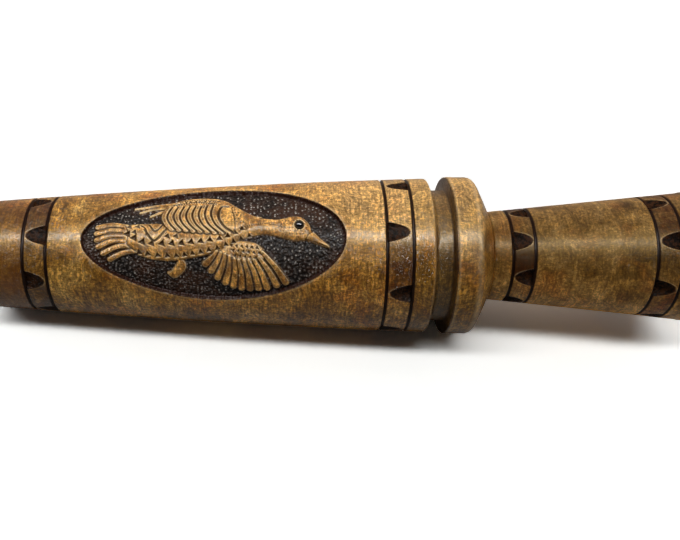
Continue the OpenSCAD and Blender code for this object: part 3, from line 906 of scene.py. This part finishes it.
def reed_film(name):
    """Satin film, slightly see-through, with fine scratches along it."""
    s = Shader(name)
    haze = s.noise(s.place(0.15), 3, 3)
    scratch = s.noise(s.place(0.05, 1, 1), 0.12, 2, 0.5)
    colour = s.ramp(haze, [(0.35, srgb(214, 216, 208)), (0.65, srgb(232, 233, 224))])
    return s.finish(Base_Color=colour, Roughness=s.window(scratch, 0.35, 0.65, 0.25, 0.45),
                    Transmission_Weight=0.35, Normal=s.bump(scratch, 0.008))


def raw_cork(name):
    """Cork: packed grains in several browns, with dark pits between them."""
    s = Shader(name)
    at = s.place()
    wander = s.vector("ADD", at, s.add("TexNoise", {"Vector": at, "Scale": 2.0}).outputs["Color"])
    grain = s.add("SeparateColor", {0: s.cells(wander, 0.9, "Color")}).outputs[0]
    colour = s.ramp(grain, [(0, srgb(168, 122, 76)), (0.4, srgb(196, 152, 102)),
                            (0.75, srgb(214, 174, 124)), (1, srgb(140, 96, 58))])
    pit = s.window(s.noise(wander, 0.5, 3, 0.7), 0.6, 0.7)
    colour = s.mix(s.times(pit, 0.8), colour, srgb(78, 48, 28))
    height = s.math("SUBTRACT", s.cells(wander, 0.9), pit)
    return s.finish(Base_Color=colour, Roughness=0.88, Normal=s.bump(height, 0.12))


def seal_rubber(name):
    """Matt black rubber with a dusty bloom and a faint moulding texture."""
    s = Shader(name)
    dust = s.noise(s.place(), 0.8, 4, 0.65)
    colour = s.ramp(dust, [(0.4, srgb(22, 22, 23)), (0.75, srgb(48, 47, 46))])
    return s.finish(Base_Color=colour, Roughness=s.window(dust, 0.3, 0.7, 0.5, 0.7),
                    Normal=s.bump(s.noise(s.place(), 0.15, 2), 0.015))


def bead_glass(name, centre):
    """A black pupil in a dark amber bead, with a polished surface."""
    s = Shader(name)
    iris = s.window(s.vector("DISTANCE", s.place(), centre, "Value"), 0.78, 0.98)
    amber = s.mix(s.noise(s.place(), 0.3, 3), srgb(16, 10, 6), srgb(34, 20, 10))
    colour = s.mix(iris, srgb(9, 8, 8), amber)
    return s.finish(Base_Color=colour, Roughness=0.14, Coat_Weight=0.7, Coat_Roughness=0.04,
                    Normal=s.bump(s.noise(s.place(), 0.6, 2), 0.01))


LIT_REACH, GAIN_LIMIT, GLOW_START = 160, 12.0, 300


def paper(name):
    """The plain pale floor.

    The camera sees it brighter than it throws light back up, and sees plain white far from the lamps.
    """
    s = Shader(name)
    tone = s.noise(s.place(), 14, 3)
    pale = s.mix(tone, (1.54, 1.57, 1.58, 1), (1.6, 1.63, 1.64, 1))
    y = s.add("SeparateXYZ", {0: s.place()}).outputs[1]
    far = s.vector("DISTANCE", s.place(), (MOUTH_X + OVERALL_L / 2, 0, 0), "Value")
    gain = s.math("ADD", s.math("POWER", s.times(far, 1 / LIT_REACH), 4.0), 1.0)
    pale = s.mix(1, pale, s.math("MINIMUM", gain, GAIN_LIMIT), "MULTIPLY")
    # For the light it throws back, the floor is painted darker in front of the call: painted shade that
    # shows only in reflections and bounce light.
    near = s.window(y, -110, -55, 0.08, 0.42)
    seen = s.add("LightPath", {}).outputs["Is Camera Ray"]
    colour = s.mix(seen, near, pale)
    s.material.cycles.emission_sampling = "NONE"
    glow = s.times(seen, s.window(far, GLOW_START, 2 * GLOW_START))
    return s.finish(Base_Color=colour, Roughness=0.6, Specular_IOR_Level=0.0,
                    Emission_Color=(1, 1, 1, 1), Emission_Strength=glow)


# ---- pieces ----

def eye_bead():
    """The eye: a bead with a crown that is slightly flatter than a ball."""
    low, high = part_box("duck_eye")
    centre = (low + high) / 2
    r = (high - low).x / 2
    out = Vector((0, -math.sin(math.radians(EYE_LEAN)), math.cos(math.radians(EYE_LEAN))))
    side = Vector((1, 0, 0))
    rise = out.cross(side)
    rows, turns = 20, 48
    points, faces = [centre + out * r * 0.97], []
    for i in range(1, rows):
        a = math.pi * i / rows
        for j in range(turns):
            b = 2 * math.pi * j / turns
            flat = 0.97 if a < math.pi / 2 else 1
            ring = side * math.cos(b) + rise * math.sin(b)
            points.append(centre + out * r * flat * math.cos(a) + ring * r * math.sin(a))
    points.append(centre - out * r)
    last = len(points) - 1
    for j in range(turns):
        k = (j + 1) % turns
        faces.append((0, 1 + j, 1 + k))
        faces.append((last, last - turns + k, last - turns + j))
        for i in range(rows - 2):
            a, b = 1 + i * turns, 1 + (i + 1) * turns
            faces.append((a + j, b + j, b + k, a + k))
    glass = bead_glass("eye_glass", tuple(centre / MM + out * r / MM))
    solid("eye_bead", [tuple(p) for p in points], faces, {}, glass, "barrel", "duck_eye")


def dress(node, material):
    """A CAD node keeps its shape and gets a finish."""
    piece = frame["nodes"][node]
    for place in piece.material_slots:
        place.link = "OBJECT"
        place.material = material


barrel_wood = figured_maple(
    "barrel_wood", [srgb(100, 64, 20), srgb(138, 94, 36), srgb(170, 122, 54), srgb(200, 154, 84)],
    srgb(160, 88, 26), 1.0, True)
insert_wood = figured_maple(
    "insert_wood", [srgb(80, 52, 18), srgb(110, 78, 32), srgb(134, 98, 46), srgb(156, 120, 64)],
    srgb(138, 82, 30), 0.2, False)
turned_piece("barrel_body", barrel_profile(), carve_barrel, barrel_wood, "barrel", "barrel")
turned_piece("insert_body", insert_profile(), carve_insert, insert_wood, "insert", "insert")
eye_bead()
dress("tone_board", moulded_plastic("tone_board_plastic"))
film = reed_film("reed_film")
dress("reed_lower", film)
dress("reed_upper", film)
dress("cork_wedge", raw_cork("cork"))
rubber = seal_rubber("seal_rubber")
dress("o_ring_front", rubber)
dress("o_ring_rear", rubber)


# ---- studio ----

CAMERA_ELEVATION, CAMERA_DISTANCE, CAMERA_STATION = 40.4, 172.0, 62.3
CAMERA_YAW, CAMERA_PITCH, CAMERA_ROLL = 3.81, 1.09, 0.21
LENS, SENSOR = 41.66, 36.0
FLOOR_TILT, FLOOR_HALF = 2.9, 4.0
LAMP_DISTANCE, LAMP_LENGTH = 0.6, 1.4
WARM_WHITE, WHITE = (1, 0.99, 0.97), (1, 1, 1)


def swing(a, b, degrees):
    """Two directions at right angles, turned together from the first towards the second."""
    c, s = math.cos(math.radians(degrees)), math.sin(math.radians(degrees))
    return a * c + b * s, b * c - a * s


def camera():
    """A close hand-held view from the front and above, level with the call's axis."""
    e = math.radians(CAMERA_ELEVATION)
    right, ahead = Vector((1, 0, 0)), Vector((0, math.cos(e), -math.sin(e)))
    spot = Vector(((MOUTH_X + CAMERA_STATION) * MM, 0, 0)) - ahead * CAMERA_DISTANCE * MM
    ahead, right = swing(ahead, right, CAMERA_YAW)
    up, ahead = swing(right.cross(ahead), ahead, CAMERA_PITCH)
    right, up = swing(right, up, CAMERA_ROLL)
    data = bpy.data.cameras.new("camera")
    data.lens, data.sensor_width = LENS, SENSOR
    data.clip_start = 0.005
    eye = placed("camera", data)
    turn = Matrix((right, up, -ahead)).transposed()
    eye.matrix_world = Matrix.Translation(spot) @ turn.to_4x4()
    bpy.context.scene.camera = eye


def strip_light(name, lean, width, watts, colour, mirrored=False, slant=0):
    """A long softbox over the call, leaning from straight up towards -Y. Its width is in metres.

    One that is mirrored shows only as a highlight, and the others only light the surfaces. A slant
    turns its exhaust end towards -Y.
    """
    data = bpy.data.lights.new(name, "AREA")
    data.shape = "RECTANGLE"
    data.size, data.size_y = LAMP_LENGTH, width
    data.energy, data.color = watts, colour
    lamp = placed(name, data)
    lamp.visible_glossy, lamp.visible_diffuse = mirrored, not mirrored
    a, b = math.radians(lean), math.radians(slant)
    back = Vector((0, -math.sin(a), math.cos(a)))
    side = Vector((math.cos(b), 0, 0)) + Vector((0, -math.cos(a), -math.sin(a))) * math.sin(b)
    turn = Matrix((side, back.cross(side), back)).transposed()
    spot = Vector((-0.075, 0, 0)) + back * LAMP_DISTANCE
    lamp.matrix_world = Matrix.Translation(spot) @ turn.to_4x4()
    return lamp


def floor():
    """A pale sheet that meets the collar and the belly, so it tilts a little with the call."""
    a = math.radians(FLOOR_TILT)
    under = Vector(((MOUTH_X + SHOULDER_X + 5) * MM, 0, -COLLAR_R * MM))
    ahead, across = Vector((math.cos(a), 0, -math.sin(a))), Vector((0, 1, 0))
    corners = [under + (ahead * i + across * j) * FLOOR_HALF
               for i, j in ((-1, -1), (1, -1), (1, 1), (-1, 1))]
    mesh = bpy.data.meshes.new("floor")
    mesh.from_pydata([tuple(p) for p in corners], [], [(0, 1, 2, 3)])
    mesh.materials.append(paper("paper"))
    sheet = placed("floor", mesh)
    return sheet


def keep_off(lamp, thing):
    """Flags one thing from a lamp, which still lights all the others."""
    flagged = bpy.data.collections.new("flagged")
    flagged.objects.link(thing)
    lamp.light_linking.receiver_collection = flagged
    flagged.collection_objects[0].light_linking.link_state = "EXCLUDE"


def world():
    """White for the camera, with a bright room behind the call and a dark one in front of it."""
    made = bpy.data.worlds.new("world")
    made.use_nodes = True
    bpy.context.scene.world = made
    tree = made.node_tree
    path = tree.nodes.new("ShaderNodeLightPath")
    coords = tree.nodes.new("ShaderNodeTexCoord")
    split = tree.nodes.new("ShaderNodeSeparateXYZ")
    room = tree.nodes.new("ShaderNodeMapRange")
    for key, value in zip(("From Min", "From Max", "To Min", "To Max"), (-0.25, 0.25, 0.02, 0.24)):
        room.inputs[key].default_value = value
    seen = tree.nodes.new("ShaderNodeMath")
    seen.operation = "MAXIMUM"
    tree.links.new(coords.outputs["Generated"], split.inputs[0])
    tree.links.new(split.outputs["Y"], room.inputs["Value"])
    tree.links.new(room.outputs[0], seen.inputs[0])
    tree.links.new(path.outputs["Is Camera Ray"], seen.inputs[1])
    tree.links.new(seen.outputs[0], tree.nodes["Background"].inputs["Color"])


camera()
sheet = floor()
world()
back_soft = strip_light("back_soft", lean=-54, width=0.9, watts=9.2, colour=WARM_WHITE)
keep_off(back_soft, sheet)
strip_light("front_strip", lean=15.6, width=0.1, watts=3.65, colour=WARM_WHITE)
strip_light("sheen_strip", lean=20.4, width=0.12, watts=11.5, colour=WHITE, mirrored=True, slant=10)
bpy.context.scene.view_settings.view_transform = "Standard"
